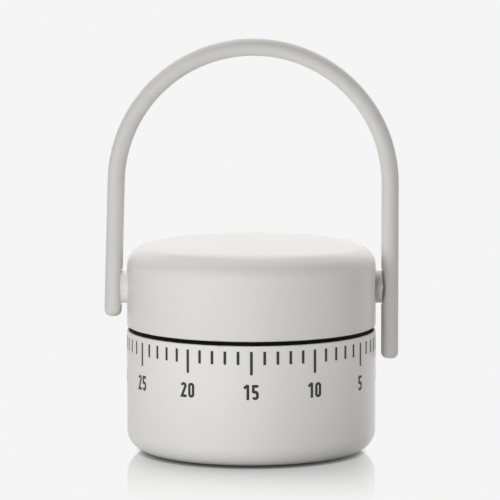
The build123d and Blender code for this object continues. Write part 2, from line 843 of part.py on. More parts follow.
# Drive disc, pressed in the upper drum: its hub turns the arbor, and its lug meets the stop post
stop_near = stop_circle_radius - stop_lug_length / 2
stop_step = degrees(((stop_post_wall + stop_lug_wall) / 2 + stop_gap) / stop_near)
lug_bearing = stop_bearing - stop_step
lug_foot = upper_top + stop_post_height - stop_lap
drive_radius = shell_inner - seat_fit
drive_bore = drive_square + 2 * seat_fit
with BuildPart() as drive_disc:
    with BuildSketch(Plane.XY.offset(drive_under)):
        Circle(drive_radius)
    extrude(amount=drive_wall)
    with BuildSketch(Plane.XY.offset(drive_top)):
        with PolarLocations(drive_radius / 2, rib_count, hook_start):
            Rectangle(drive_radius - hub_radius / 2, rib_wall)
    extrude(amount=rib_height)
    with BuildSketch(Plane.XY.offset(drive_top)):
        Circle(hub_radius)
    extrude(amount=cap_ceiling - drive_top)
    with BuildSketch(Plane.XY.offset(lug_foot)):
        with Locations(Location(polar(stop_circle_radius, lug_bearing), lug_bearing)):
            Rectangle(stop_lug_length, stop_lug_wall)
    extrude(amount=drive_under - lug_foot)
    with BuildSketch(Plane.XY.offset(drive_under)):
        Rectangle(drive_bore, drive_bore)
    extrude(amount=hub_grip + end_play, mode=Mode.SUBTRACT)
drive_disc.part.label = "drive_disc"
export_step(drive_disc.part, "parts/drive_disc.step")

# Pivot bosses: a round spacer on either side, shaped to the drum's wall
boss_face = shell_radius + boss_proud
with BuildPart() as pivot_bosses:
    for side in (-1, 1):
        with BuildSketch(Plane(origin=(side * boss_face, 0, pivot_level), z_dir=(-side, 0, 0))):
            Circle(boss_radius)
            Circle(pin_radius + run_fit, mode=Mode.SUBTRACT)
        extrude(amount=boss_proud + shell_wall)
    with BuildSketch(Plane.XY.offset(cap_rim)):
        Circle(shell_radius)
    extrude(amount=cap_height, mode=Mode.SUBTRACT)
pivot_bosses.part.label = "pivot_bosses"
export_step(pivot_bosses.part, "parts/pivot_bosses.step")

# Pivot screws with hexagon heads, from inside the drum into the handle's legs
head_face = shell_inner - pin_head_gap
pin_end = leg_centre - rod_radius + pin_bite
with BuildPart() as pivot_screws:
    for side in (-1, 1):
        with BuildSketch(Plane(origin=(side * head_face, 0, pivot_level), z_dir=(-side, 0, 0))):
            RegularPolygon(pin_head_radius, 6)
        extrude(amount=pin_head_height)
        with BuildSketch(Plane(origin=(side * head_face, 0, pivot_level), z_dir=(side, 0, 0))):
            Circle(pin_radius)
        extrude(amount=pin_end - head_face)
pivot_screws.part.label = "pivot_screws"
export_step(pivot_screws.part, "parts/pivot_screws.step")

# Handle: one bent rod with domed ends, a flat where each leg meets its boss, and a blind hole.
# The long leg is upright and the short leg leans in, so the bend is a little less than half a turn.
spot_face = boss_face + run_fit
spot_length = 2 * (boss_radius + spot_margin)
lean = radians(leg_lean)
short_end = (-leg_centre, pivot_level - short_tail)
lean_run = (arch_level - short_end[1]) * tan(lean)
arch_radius = (2 * leg_centre - lean_run) / (1 + 1 / cos(lean))
arch_centre = leg_centre - arch_radius
with BuildPart() as handle:
    with BuildLine(Plane.XZ):
        bend_start = (arch_centre - arch_radius * cos(lean), arch_level + arch_radius * sin(lean))
        Line(short_end, bend_start)
        CenterArc((arch_centre, arch_level), arch_radius, 180 - leg_lean, leg_lean - 180)
        Line((leg_centre, arch_level), (leg_centre, pivot_level - pointer_tail))
    with BuildSketch(Plane(origin=(short_end[0], 0, short_end[1]), z_dir=(sin(lean), 0, cos(lean)))):
        Circle(rod_radius)
    sweep()
    fillet(handle.faces().filter_by(GeomType.PLANE).edges(), rod_end_round)
    for side in (-1, 1):
        with BuildSketch(Plane(origin=(side * spot_face, 0, pivot_level), z_dir=(-side, 0, 0))):
            Rectangle(spot_length, spot_length)
        extrude(amount=rod_radius, mode=Mode.SUBTRACT)
        with BuildSketch(Plane(origin=(side * spot_face, 0, pivot_level), z_dir=(side, 0, 0))):
            Circle(pin_radius + seat_fit)
        extrude(amount=pin_end + end_play - spot_face, mode=Mode.SUBTRACT)
handle.part.label = "handle"
export_step(handle.part, "parts/handle.step")

# Least gap of the mainspring to itself, between its two edges on neighbouring turns
samples = 25
edges = {}
for offset in (-half_strip, half_strip):
    edges[offset] = [
        (half, polar(radius, start + swing * step / (samples - 1), centre))
        for half, (centre, radius, start, swing) in enumerate(spring_edge(offset))
        for step in range(samples)
    ]
spring_gap = min(
    dist(outer, inner)
    for half_out, outer in edges[half_strip]
    for half_in, inner in edges[-half_strip]
    if half_in > half_out + 1
)
print(f"mainspring: least gap to itself {spring_gap:.2f} mm")
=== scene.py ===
"""Wind-up kitchen timer: the finishes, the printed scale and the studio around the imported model."""

from math import cos, hypot, pi, radians, sin

import bmesh
import bpy
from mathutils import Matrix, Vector


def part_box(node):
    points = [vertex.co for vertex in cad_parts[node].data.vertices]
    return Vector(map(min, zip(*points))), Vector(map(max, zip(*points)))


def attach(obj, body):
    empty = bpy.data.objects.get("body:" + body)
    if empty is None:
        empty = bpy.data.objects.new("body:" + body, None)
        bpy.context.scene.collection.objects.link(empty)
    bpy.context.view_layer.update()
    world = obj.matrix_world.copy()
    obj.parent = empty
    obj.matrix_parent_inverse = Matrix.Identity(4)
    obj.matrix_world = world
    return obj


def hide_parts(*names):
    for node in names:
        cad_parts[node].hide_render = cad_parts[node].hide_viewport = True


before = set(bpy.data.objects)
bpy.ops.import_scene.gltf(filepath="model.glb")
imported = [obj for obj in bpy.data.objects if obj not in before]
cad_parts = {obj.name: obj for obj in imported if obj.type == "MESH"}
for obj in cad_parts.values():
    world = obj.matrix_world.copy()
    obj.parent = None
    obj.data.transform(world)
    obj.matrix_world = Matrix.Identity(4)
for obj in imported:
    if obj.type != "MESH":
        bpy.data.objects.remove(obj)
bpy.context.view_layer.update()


# Rubber foot
# A disc of black rubber, moulded with rings underneath for grip and a rounded lip.
# It is glued in the shallow recess under the lower drum and stands a little proud of it.
MM = 0.001
on_axis = 1e-6


def arc(centre_r, centre_z, radius, first, last, steps=8):
    """Points of a rounding in a lathe profile, in millimetres, from one angle to another."""
    turns = [radians(first + (last - first) * step / steps) for step in range(steps + 1)]
    return [(centre_r + radius * cos(turn), centre_z + radius * sin(turn)) for turn in turns]


def finish_mesh(mesh, crease=30):
    """Smooth shading, with edges sharper than the crease angle left crisp."""
    mesh.shade_smooth()
    mesh.set_sharp_from_angle(angle=radians(crease))
    return mesh


def show(name, mesh, material):
    """Puts a mesh in the scene as a named piece with its finish."""
    piece = bpy.data.objects.new(name, mesh)
    bpy.context.scene.collection.objects.link(piece)
    mesh.materials.clear()
    mesh.materials.append(material)
    return piece


def settle(shape, name):
    """Turns a finished bmesh into a mesh of that name."""
    mesh = bpy.data.meshes.new(name)
    shape.to_mesh(mesh)
    shape.free()
    return mesh


def lathe(name, profile, segments=240):
    """A closed turned mesh from (radius, height) points in millimetres, from axis to axis."""
    shape = bmesh.new()
    turns = [2 * pi * segment / segments for segment in range(segments)]
    rings = []
    for radius, height in profile:
        if radius < on_axis:
            ring = [(0, 0)]
        else:
            ring = [(radius * MM * cos(turn), radius * MM * sin(turn)) for turn in turns]
        rings.append([shape.verts.new((x, y, height * MM)) for x, y in ring])
    for lower, upper in zip(rings, rings[1:]):
        for segment in range(segments):
            after = (segment + 1) % segments
            corners = [lower[segment % len(lower)], lower[after % len(lower)]]
            corners += [upper[after % len(upper)], upper[segment % len(upper)]]
            shape.faces.new(dict.fromkeys(corners))
    bmesh.ops.recalc_face_normals(shape, faces=shape.faces)
    return finish_mesh(settle(shape, name))


def add(tree, kind, inputs=None, **settings):
    """A shader node with its settings and the plain values of its sockets."""
    node = tree.nodes.new(kind)
    for setting, value in settings.items():
        setattr(node, setting, value)
    for socket, value in (inputs or {}).items():
        node.inputs[socket].default_value = value
    return node


def effect(name, inputs, outputs):
    """An empty shader node group with named sockets, and its two end nodes."""
    group = bpy.data.node_groups.new(name, "ShaderNodeTree")
    kinds = {"value": "NodeSocketFloat", "colour": "NodeSocketColor", "vector": "NodeSocketVector"}
    for socket, (kind, default) in inputs.items():
        made = group.interface.new_socket(name=socket, in_out="INPUT", socket_type=kinds[kind])
        made.default_value = default
    for socket, kind in outputs.items():
        group.interface.new_socket(name=socket, in_out="OUTPUT", socket_type=kinds[kind])
    return group, group.nodes.new("NodeGroupInput"), group.nodes.new("NodeGroupOutput")


def place(tree, group, rough_range=None, **values):
    """One of the effects in a material, with its own values and its range of roughness."""
    node = add(tree, "ShaderNodeGroup", node_tree=group)
    if rough_range:
        values["Roughness_low"], values["Roughness_high"] = rough_range
    for socket, value in values.items():
        node.inputs[socket.replace("_", " ")].default_value = value
    return node


def blank_finish(name, **sockets):
    """A material with its shader, the shader's plain values set on their own sockets."""
    material = bpy.data.materials.new(name)
    material.use_nodes = True
    tree = material.node_tree
    shader = tree.nodes["Principled BSDF"]
    for socket, value in sockets.items():
        shader.inputs[socket.replace("_", " ")].default_value = value
    return material, tree, shader


def relief(tree, shader, height, distance):
    """Bump of a real depth in metres, from a height output to the shader's normal."""
    bump = add(tree, "ShaderNodeBump", {"Distance": distance})
    tree.links.new(height, bump.inputs["Height"])
    tree.links.new(bump.outputs["Normal"], shader.inputs["Normal"])


# Speckle: two sizes of grain that tint a colour, vary the roughness and give a fine relief
speckle, entry, leave = effect(
    "speckle",
    {
        "Colour": ("colour", (0.5, 0.5, 0.5, 1)),
        "Tint": ("colour", (0.4, 0.4, 0.4, 1)),
        "Grain per metre": ("value", 2500),
        "Cloud per metre": ("value", 60),
        "Roughness low": ("value", 0.45),
        "Roughness high": ("value", 0.6),
    },
    {"Colour": "colour", "Roughness": "value", "Height": "value"},
)
where = add(speckle, "ShaderNodeTexCoord")
grain = add(speckle, "ShaderNodeTexNoise", {"Detail": 2, "Roughness": 0.6})
cloud = add(speckle, "ShaderNodeTexNoise", {"Detail": 3, "Roughness": 0.55})
blot = add(speckle, "ShaderNodeMath", operation="MULTIPLY")
tinted = add(speckle, "ShaderNodeMix", data_type="RGBA")
rough = add(speckle, "ShaderNodeMapRange")
speckle.links.new(where.outputs["Object"], grain.inputs["Vector"])
speckle.links.new(where.outputs["Object"], cloud.inputs["Vector"])
speckle.links.new(entry.outputs["Grain per metre"], grain.inputs["Scale"])
speckle.links.new(entry.outputs["Cloud per metre"], cloud.inputs["Scale"])
speckle.links.new(grain.outputs["Fac"], blot.inputs[0])
speckle.links.new(cloud.outputs["Fac"], blot.inputs[1])
speckle.links.new(blot.outputs["Value"], tinted.inputs["Factor"])
speckle.links.new(entry.outputs["Colour"], tinted.inputs["A"])
speckle.links.new(entry.outputs["Tint"], tinted.inputs["B"])
speckle.links.new(cloud.outputs["Fac"], rough.inputs["Value"])
speckle.links.new(entry.outputs["Roughness low"], rough.inputs["To Min"])
speckle.links.new(entry.outputs["Roughness high"], rough.inputs["To Max"])
speckle.links.new(tinted.outputs["Result"], leave.inputs["Colour"])
speckle.links.new(rough.outputs["Result"], leave.inputs["Roughness"])
speckle.links.new(grain.outputs["Fac"], leave.inputs["Height"])


def speckles(tree, colour, tint, grain_mm, cloud_mm, rough_range=None):
    """The speckle in a material, with the sizes of its two grains in millimetres."""
    return place(
        tree,
        speckle,
        rough_range,
        Colour=(*colour, 1),
        Tint=(*tint, 1),
        Grain_per_metre=1 / (grain_mm * MM),
        Cloud_per_metre=1 / (cloud_mm * MM),
    )


def speckled_finish(name, colour, tint, grain_mm, cloud_mm, rough_range, depth_mm, **sockets):
    """A material whose colour, roughness and relief all come from the speckle."""
    material, tree, shader = blank_finish(name, **sockets)
    grains = speckles(tree, colour, tint, grain_mm, cloud_mm, rough_range)
    tree.links.new(grains.outputs["Colour"], shader.inputs["Base Color"])
    tree.links.new(grains.outputs["Roughness"], shader.inputs["Roughness"])
    relief(tree, shader, grains.outputs["Height"], depth_mm * MM)
    return material


pad_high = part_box("foot_pad")[1]
pad_radius = pad_high.x / MM
pad_height = pad_high.z / MM
pad_lip = 0.25
ring_step = 3.0
ring_depth = 0.3
ring_groove = 1.0
ring_slope = 0.2
foot_profile = [(0, 0)]
for number in range(1, int(pad_radius / ring_step)):
    inner = number * ring_step
    outer = inner + ring_groove
    foot_profile += [(inner, 0), (inner + ring_slope, ring_depth)]
    foot_profile += [(outer - ring_slope, ring_depth), (outer, 0)]
foot_profile += arc(pad_radius - pad_lip, pad_lip, pad_lip, -90, 0, steps=4)
foot_profile += [(pad_radius, pad_height), (0, pad_height)]
foot_rubber = speckled_finish(
    "foot rubber",
    colour=(0.022, 0.022, 0.021),
    tint=(0.06, 0.058, 0.055),
    grain_mm=0.25,
    cloud_mm=9,
    rough_range=(0.7, 0.95),
    depth_mm=0.012,
)
rubber_foot = show("rubber_foot", lathe("rubber_foot", foot_profile), foot_rubber)
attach(rubber_foot, "base")
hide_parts("foot_pad")


# Lower drum
# A deep-drawn steel cup with a rolled lower edge and a trimmed, deburred rim, coated in a warm
# light grey satin powder. A threaded stud is welded inside for the bell and the carrier.
cup_low, cup_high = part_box("base_cup")
shell_radius = cup_high.x / MM
cup_rim = cup_high.z / MM
cup_under = cup_low.z / MM
shell_wall = 1.6
shell_edge = 6.0
inner_bevel = 4.0
rim_round = 0.4
pad_gap = 0.2
stud_radius = 1.5
stud_top = 8.4
stud_chamfer = 0.3
wall_rings = (14, 24)
shell_inner = shell_radius - shell_wall
cup_floor = cup_under + shell_wall
recess_radius = pad_radius + pad_gap
cup_profile = [(0, pad_height), (recess_radius, pad_height), (recess_radius, cup_under)]
cup_profile += arc(shell_radius - shell_edge, cup_under + shell_edge, shell_edge, -90, 0, steps=20)
cup_profile += [(shell_radius, height) for height in wall_rings]
cup_profile += arc(shell_radius - rim_round, cup_rim - rim_round, rim_round, 0, 90)
cup_profile += arc(shell_inner + rim_round, cup_rim - rim_round, rim_round, 90, 180)
cup_profile += [(shell_inner, cup_floor + inner_bevel), (shell_inner - inner_bevel, cup_floor)]
cup_profile += [(stud_radius, cup_floor), (stud_radius, stud_top - stud_chamfer)]
cup_profile += [(stud_radius - stud_chamfer, stud_top), (0, stud_top)]

# Rim wear: a broken band at a height, where hands and the other drum rub the coating
rim_wear, entry, leave = effect(
    "rim wear",
    {"Level": ("value", 0.0357), "Reach": ("value", 0.0006), "Break per metre": ("value", 400)},
    {"Mask": "value"},
)
where = add(rim_wear, "ShaderNodeTexCoord")
parts = add(rim_wear, "ShaderNodeSeparateXYZ")
away = add(rim_wear, "ShaderNodeMath", operation="SUBTRACT")
apart = add(rim_wear, "ShaderNodeMath", operation="ABSOLUTE")
band = add(rim_wear, "ShaderNodeMapRange", {"From Min": 0.0, "To Min": 1.0, "To Max": 0.0})
breaks = add(rim_wear, "ShaderNodeTexNoise", {"Detail": 4, "Roughness": 0.65})
broken = add(rim_wear, "ShaderNodeMapRange", {"From Min": 0.5, "From Max": 0.68})
worn = add(rim_wear, "ShaderNodeMath", operation="MULTIPLY")
rim_wear.links.new(where.outputs["Object"], parts.inputs["Vector"])
rim_wear.links.new(parts.outputs["Z"], away.inputs[0])
rim_wear.links.new(entry.outputs["Level"], away.inputs[1])
rim_wear.links.new(away.outputs["Value"], apart.inputs[0])
rim_wear.links.new(apart.outputs["Value"], band.inputs["Value"])
rim_wear.links.new(entry.outputs["Reach"], band.inputs["From Max"])
rim_wear.links.new(where.outputs["Object"], breaks.inputs["Vector"])
rim_wear.links.new(entry.outputs["Break per metre"], breaks.inputs["Scale"])
rim_wear.links.new(breaks.outputs["Fac"], broken.inputs["Value"])
rim_wear.links.new(band.outputs["Result"], worn.inputs[0])
rim_wear.links.new(broken.outputs["Result"], worn.inputs[1])
rim_wear.links.new(worn.outputs["Value"], leave.inputs["Mask"])

worn_colour = (0.62, 0.61, 0.59)
coat_gloss = 0.3
coat_roughness = (0.28, 0.36)
coat_cloud = 22
peel_size = 0.45
peel_depth = 0.004


def coated_finish(name, level_mm, colour, tint):
    """Satin powder coat: fine orange peel, faint clouding, and a little wear at one height."""
    material, tree, shader = blank_finish(name, Specular_IOR_Level=coat_gloss)
    grains = speckles(tree, colour, tint, peel_size, coat_cloud, coat_roughness)
    wear = place(tree, rim_wear, Level=level_mm * MM)
    faded = add(tree, "ShaderNodeMix", {"B": (*worn_colour, 1)}, data_type="RGBA")
    tree.links.new(wear.outputs["Mask"], faded.inputs["Factor"])
    tree.links.new(grains.outputs["Colour"], faded.inputs["A"])
    tree.links.new(faded.outputs["Result"], shader.inputs["Base Color"])
    tree.links.new(grains.outputs["Roughness"], shader.inputs["Roughness"])
    relief(tree, shader, grains.outputs["Height"], peel_depth * MM)
    return material


# Painted light: the lower drum's coat is made lighter than the upper drum's, to make up for the shade
# near the floor; both drums wear one and the same coat.
lower_coat_lightened_for_shade = coated_finish(
    "lower drum coat, lightened for shade", cup_rim, colour=(0.815, 0.802, 0.77), tint=(0.78, 0.77, 0.745)
)
lower_drum = show("lower_drum", lathe("lower_drum", cup_profile), lower_coat_lightened_for_shade)
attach(lower_drum, "base")
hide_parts("base_cup")


# Printed scale
# Sixty minute marks and a number at every fifth, pad-printed in dark ink on the lower drum's wall.
# The zero stands at +X, and the minutes run on to the front and round to the back.
minutes = 60
number_every = 5
ink_proud = 0.03
ink_sunk = 0.02
mark_top = 34.05
mark_width = 0.8
mark_length = 3.8
five_length = 6.7
mark_round = 0.16
digit_foot = 20.3
digit_shift = -0.16
digit_height = 4.3
digit_width = 2.0
digit_step = 2.5
digit_stroke = 0.78
half_stroke = digit_stroke / 2


def wrap(mesh, minute, shift=0.0):
    """Bends a flat mesh, drawn in millimetres, round the drum's wall at a minute of the scale."""
    for corner in mesh.vertices:
        turn = radians(-360 / minutes * minute) + (corner.co.x + shift) / shell_radius
        radius = (shell_radius + corner.co.z) * MM
        corner.co = (radius * cos(turn), radius * sin(turn), corner.co.y * MM)


def slab(name, rows):
    """A closed flat mesh, as thick as the ink, between two edges given as pairs of points."""
    shape = bmesh.new()
    layers = []
    for depth in (-ink_sunk, ink_proud):
        layers.append([[shape.verts.new((x, y, depth)) for x, y in row] for row in rows])
    for layer in layers:
        for row, after in zip(layer, layer[1:]):
            shape.faces.new((row[0], row[1], after[1], after[0]))
    for side in (0, 1):
        under, over = ([row[side] for row in layer] for layer in layers)
        for step in range(len(rows) - 1):
            shape.faces.new((under[step], under[step + 1], over[step + 1], over[step]))
    for end in (0, -1):
        under, over = (layer[end] for layer in layers)
        shape.faces.new((under[0], under[1], over[1], over[0]))
    bmesh.ops.recalc_face_normals(shape, faces=shape.faces)
    return settle(shape, name)


def bar(length):
    """Pairs of points across a mark with rounded corners, from its top down."""
    corner = arc(mark_width / 2 - mark_round, mark_top - mark_round, mark_round, 90, 0, steps=4)
    rows = [((-x, y), (x, y)) for x, y in corner]
    flip = 2 * mark_top - length
    rows += [tuple((x, flip - y) for x, y in row) for row in reversed(rows)]
    return rows


def stroke(path):
    """Pairs of points on either side of a pen path, with mitred corners."""
    rows = []
    for number, (x, y) in enumerate(path):
        before = path[max(number - 1, 0)]
        after = path[min(number + 1, len(path) - 1)]
        if before == (x, y):
            before = (2 * x - after[0], 2 * y - after[1])
        if after == (x, y):
            after = (2 * x - before[0], 2 * y - before[1])
        in_x, in_y = x - before[0], y - before[1]
        out_x, out_y = after[0] - x, after[1] - y
        in_size, out_size = hypot(in_x, in_y), hypot(out_x, out_y)
        side_x = -(in_y / in_size + out_y / out_size)
        side_y = in_x / in_size + out_x / out_size
        size = side_x**2 + side_y**2
        side_x, side_y = (2 * half_stroke * part / size for part in (side_x, side_y))
        rows.append(((x + side_x, y + side_y), (x - side_x, y - side_y)))
    return rows


sliver = 1e-6


def combine(first, second, operation, material):
    """The mesh that a Boolean of two closed meshes leaves, with no faces inside."""
    one, two = show("first", first, material), show("second", second, material)
    work = one.modifiers.new("work", "BOOLEAN")
    work.operation = operation
    work.solver = "EXACT"
    work.object = two
    graph = bpy.context.evaluated_depsgraph_get()
    mesh = bpy.data.meshes.new_from_object(one.evaluated_get(graph))
    bpy.data.objects.remove(one)
    bpy.data.objects.remove(two)
    shape = bmesh.new()
    shape.from_mesh(mesh)
    bmesh.ops.dissolve_degenerate(shape, edges=shape.edges, dist=sliver)
    many_sided = [face for face in shape.faces if len(face.verts) > 4]
    bmesh.ops.triangulate(shape, faces=many_sided)
    shape.to_mesh(mesh)
    shape.free()
    return mesh


ink = speckled_finish(
    "scale ink",
    colour=(0.016, 0.017, 0.016),
    tint=(0.035, 0.036, 0.034),
    grain_mm=0.12,
    cloud_mm=6,
    rough_range=(0.45, 0.6),
    depth_mm=0.002,
)

# Pen paths of the figures, along the middle of the stroke and from the figure's lower left corner
left = half_stroke
right = digit_width - half_stroke
middle = digit_width / 2
bowl = middle - half_stroke
top = digit_height - half_stroke
foot = half_stroke
bowl_end = -160
stem = 1.42
flag_tip = (0.32, 3.28)
flag_drop = 0.1
arm_end = 0.2
corner_inset = 0.06
two_heel = 0.02
three_neck = 0.86
three_waist = 0.53 * digit_height
three_lift = 0.22
three_swell = 0.02
four_peak = 1.12
four_bar = 1.1
four_stem_top = 2.1
five_inset = 0.12
five_back_foot = 2.0
five_bowl = 0.62 * digit_height - half_stroke
back = left + corner_inset
loop = arc(middle, top - bowl, bowl, 0, 180, steps=16)
loop += arc(middle, foot + bowl, bowl, 180, 360, steps=16)
three_middle = middle - three_swell
three_bowl = bowl + three_swell
pen_paths = {
    "0": [loop + loop[:2]],
    "1": [[(stem, 0), (stem, digit_height)], [flag_tip, (stem, digit_height - flag_drop)]],
    "2": [
        arc(middle, top - bowl, bowl, 172, -22, steps=16)
        + [(back, half_stroke + two_heel), (digit_width, half_stroke)]
    ],
    "3": [
        [(arm_end, top), (right - corner_inset, top), (three_neck, three_waist)],
        arc(three_middle, foot + bowl + three_lift, three_bowl, 62, 0, steps=8)
        + arc(three_middle, foot + bowl, three_bowl, 0, bowl_end, steps=14),
    ],
    "4": [
        [(four_peak, digit_height), (arm_end, four_bar), (digit_width, four_bar)],
        [(stem, four_stem_top), (stem, 0)],
    ],
    "5": [
        [(digit_width - five_inset, top), (back, top), (back, five_back_foot)],
        arc(middle, five_bowl - bowl, bowl, 150, 0, steps=10)
        + arc(middle, foot + bowl, bowl, 0, bowl_end, steps=14),
    ],
}
digits = {}
for digit, paths in pen_paths.items():
    strokes = [slab(f"digit_{digit}_{number}", stroke(path)) for number, path in enumerate(paths)]
    digits[digit] = strokes[0] if len(strokes) == 1 else combine(*strokes, "UNION", ink)


weld_reach = 1e-7


def gather(name, meshes):
    """Joins meshes into one printed piece on the lower drum."""
    shape = bmesh.new()
    for mesh in meshes:
        shape.from_mesh(mesh)
        bpy.data.meshes.remove(mesh)
    bmesh.ops.remove_doubles(shape, verts=shape.verts, dist=weld_reach)
    piece = show(name, finish_mesh(settle(shape, name)), ink)
    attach(piece, "base")


marks = {"minute_marks": [], "five_minute_marks": []}
numbers = []
for minute in range(minutes):
    fifth = minute % number_every == 0
    mark = slab("mark", bar(five_length if fifth else mark_length))
    wrap(mark, minute)
    marks["five_minute_marks" if fifth else "minute_marks"].append(mark)
    if not fifth:
        continue
    number = str(minute)
    number_width = digit_width + (len(number) - 1) * digit_step
    for order, digit in enumerate(number):
        figure = digits[digit].copy()
        for corner in figure.vertices:
            corner.co.y += digit_foot
        wrap(figure, minute, order * digit_step - number_width / 2 + digit_shift)
        numbers.append(figure)
for name, meshes in marks.items():
    gather(name, meshes)
gather("scale_numbers", numbers)


# Movement carrier
# A black plastic moulding, held down in the lower drum by the bell's nut. Snap hooks on its shelf
# hold the movement, and its flange fills the seam and shows as the dark line between the drums.
def refinish(material, *nodes):
    """Gives CAD nodes, whose shape stays, their finish."""
    for node in nodes:
        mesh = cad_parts[node].data
        mesh.materials.clear()
        mesh.materials.append(material)


carrier_plastic = speckled_finish(
    "carrier plastic",
    colour=(0.003, 0.003, 0.003),
    tint=(0.007, 0.007, 0.007),
    grain_mm=0.3,
    cloud_mm=15,
    rough_range=(0.7, 0.85),
    depth_mm=0.008,
    Specular_IOR_Level=0.08,
)
refinish(carrier_plastic, "movement_carrier")


# Bell and its nut
# The bell is a drawn steel cup, nickel plated and bright, with faint rings from polishing.
# A zinc-plated hexagon nut on the welded stud holds it and the carrier down.
turning_marks, entry, leave = effect(
    "turning marks",
    {"Rings": ("value", 160), "Roughness low": ("value", 0.15), "Roughness high": ("value", 0.3)},
    {"Lines": "value", "Roughness": "value"},
)
where = add(turning_marks, "ShaderNodeTexCoord")
centred = add(turning_marks, "ShaderNodeVectorMath", {1: (0.5, 0.5, 0.5)}, operation="SUBTRACT")
level = add(turning_marks, "ShaderNodeVectorMath", {1: (1, 1, 0)}, operation="MULTIPLY")
reach = add(turning_marks, "ShaderNodeVectorMath", operation="LENGTH")
counted = add(turning_marks, "ShaderNodeMath", operation="MULTIPLY")
lines = add(turning_marks, "ShaderNodeTexNoise", {"Scale": 1, "Detail": 3}, noise_dimensions="1D")
rough = add(turning_marks, "ShaderNodeMapRange", {"From Min": 0.3, "From Max": 0.7})
turning_marks.links.new(where.outputs["Generated"], centred.inputs[0])
turning_marks.links.new(centred.outputs["Vector"], level.inputs[0])
turning_marks.links.new(level.outputs["Vector"], reach.inputs[0])
turning_marks.links.new(reach.outputs["Value"], counted.inputs[0])
turning_marks.links.new(entry.outputs["Rings"], counted.inputs[1])
turning_marks.links.new(counted.outputs["Value"], lines.inputs["W"])
turning_marks.links.new(lines.outputs["Fac"], rough.inputs["Value"])
turning_marks.links.new(entry.outputs["Roughness low"], rough.inputs["To Min"])
turning_marks.links.new(entry.outputs["Roughness high"], rough.inputs["To Max"])
turning_marks.links.new(lines.outputs["Fac"], leave.inputs["Lines"])
turning_marks.links.new(rough.outputs["Result"], leave.inputs["Roughness"])


def marked_metal(name, colour, tint, grain_mm, cloud_mm, marks, rough_range, depth_mm, **pattern):
    """Bare or plated metal: a clouded tarnish, and fine marks that set its roughness and relief."""
    material, tree, shader = blank_finish(name, Metallic=1.0)
    tarnish = speckles(tree, colour, tint, grain_mm, cloud_mm)
    lines = place(tree, marks, rough_range, **pattern)
    tree.links.new(tarnish.outputs["Colour"], shader.inputs["Base Color"])
    tree.links.new(lines.outputs["Roughness"], shader.inputs["Roughness"])
    relief(tree, shader, lines.outputs["Lines"], depth_mm * MM)
    return material


def turned_finish(name, colour, tint, rings, rough_range, depth_mm):
    """Metal with rings about the piece's own axis."""
    return marked_metal(
        name,
        colour,
        tint,
        grain_mm=0.6,
        cloud_mm=8,
        marks=turning_marks,
        rough_range=rough_range,
        depth_mm=depth_mm,
        Rings=rings,
    )


bell_nickel = turned_finish(
    "bell nickel",
    colour=(0.82, 0.80, 0.77),
    tint=(0.70, 0.68, 0.64),
    rings=120,
    rough_range=(0.08, 0.2),
    depth_mm=0.002,
)
plate_zinc = turned_finish(
    "plate zinc",
    colour=(0.66, 0.67, 0.68),
    tint=(0.52, 0.53, 0.54),
    rings=45,
    rough_range=(0.3, 0.5),
    depth_mm=0.001,
)
refinish(bell_nickel, "bell")
refinish(plate_zinc, "bell_nut")


# Movement plates and pillars
# Two stamped steel discs, zinc plated, spaced by hexagon pillars that are riveted in both. The
# carrier's hooks hold them down.
refinish(plate_zinc, "lower_plate", "upper_plate", "plate_pillars")


# Mainspring
# A strip of blued spring steel, wound in a spiral from the arbor to a post on the lower plate. The
# tongue at its inner end sits in the arbor's slot and turns with it, so it is a piece of its own.
drawn_marks, entry, leave = effect(
    "drawn marks",
    {
        "Along": ("vector", (4000, 4000, 150)),
        "Roughness low": ("value", 0.2),
        "Roughness high": ("value", 0.4),
    },
    {"Lines": "value", "Roughness": "value"},
)
where = add(drawn_marks, "ShaderNodeTexCoord")
stretched = add(drawn_marks, "ShaderNodeVectorMath", operation="MULTIPLY")
lines = add(drawn_marks, "ShaderNodeTexNoise", {"Scale": 1, "Detail": 3, "Roughness": 0.6})
rough = add(drawn_marks, "ShaderNodeMapRange", {"From Min": 0.3, "From Max": 0.7})
drawn_marks.links.new(where.outputs["Object"], stretched.inputs[0])
drawn_marks.links.new(entry.outputs["Along"], stretched.inputs[1])
drawn_marks.links.new(stretched.outputs["Vector"], lines.inputs["Vector"])
drawn_marks.links.new(lines.outputs["Fac"], rough.inputs["Value"])
drawn_marks.links.new(entry.outputs["Roughness low"], rough.inputs["To Min"])
drawn_marks.links.new(entry.outputs["Roughness high"], rough.inputs["To Max"])
drawn_marks.links.new(lines.outputs["Fac"], leave.inputs["Lines"])
drawn_marks.links.new(rough.outputs["Result"], leave.inputs["Roughness"])


def drawn_finish(name, colour, tint, along, rough_range, depth_mm):
    """Drawn or rolled metal, with lines along one direction."""
    return marked_metal(
        name,
        colour,
        tint,
        grain_mm=0.5,
        cloud_mm=6,
        marks=drawn_marks,
        rough_range=rough_range,
        depth_mm=depth_mm,
        Along=along,
    )


spring_blue = drawn_finish(
    "spring blue",
    colour=(0.10, 0.12, 0.17),
    tint=(0.16, 0.15, 0.16),
    along=(150, 150, 5000),
    rough_range=(0.2, 0.38),
    depth_mm=0.002,
)
tongue_end = 3.23
coil_start = 3.27
tongue_side = 0.05
tongue_depth = 0.6
spring_low, spring_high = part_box("mainspring")
spring_middle = (spring_low.z + spring_high.z) / 2
block_height = 2 * (spring_high.z - spring_low.z)


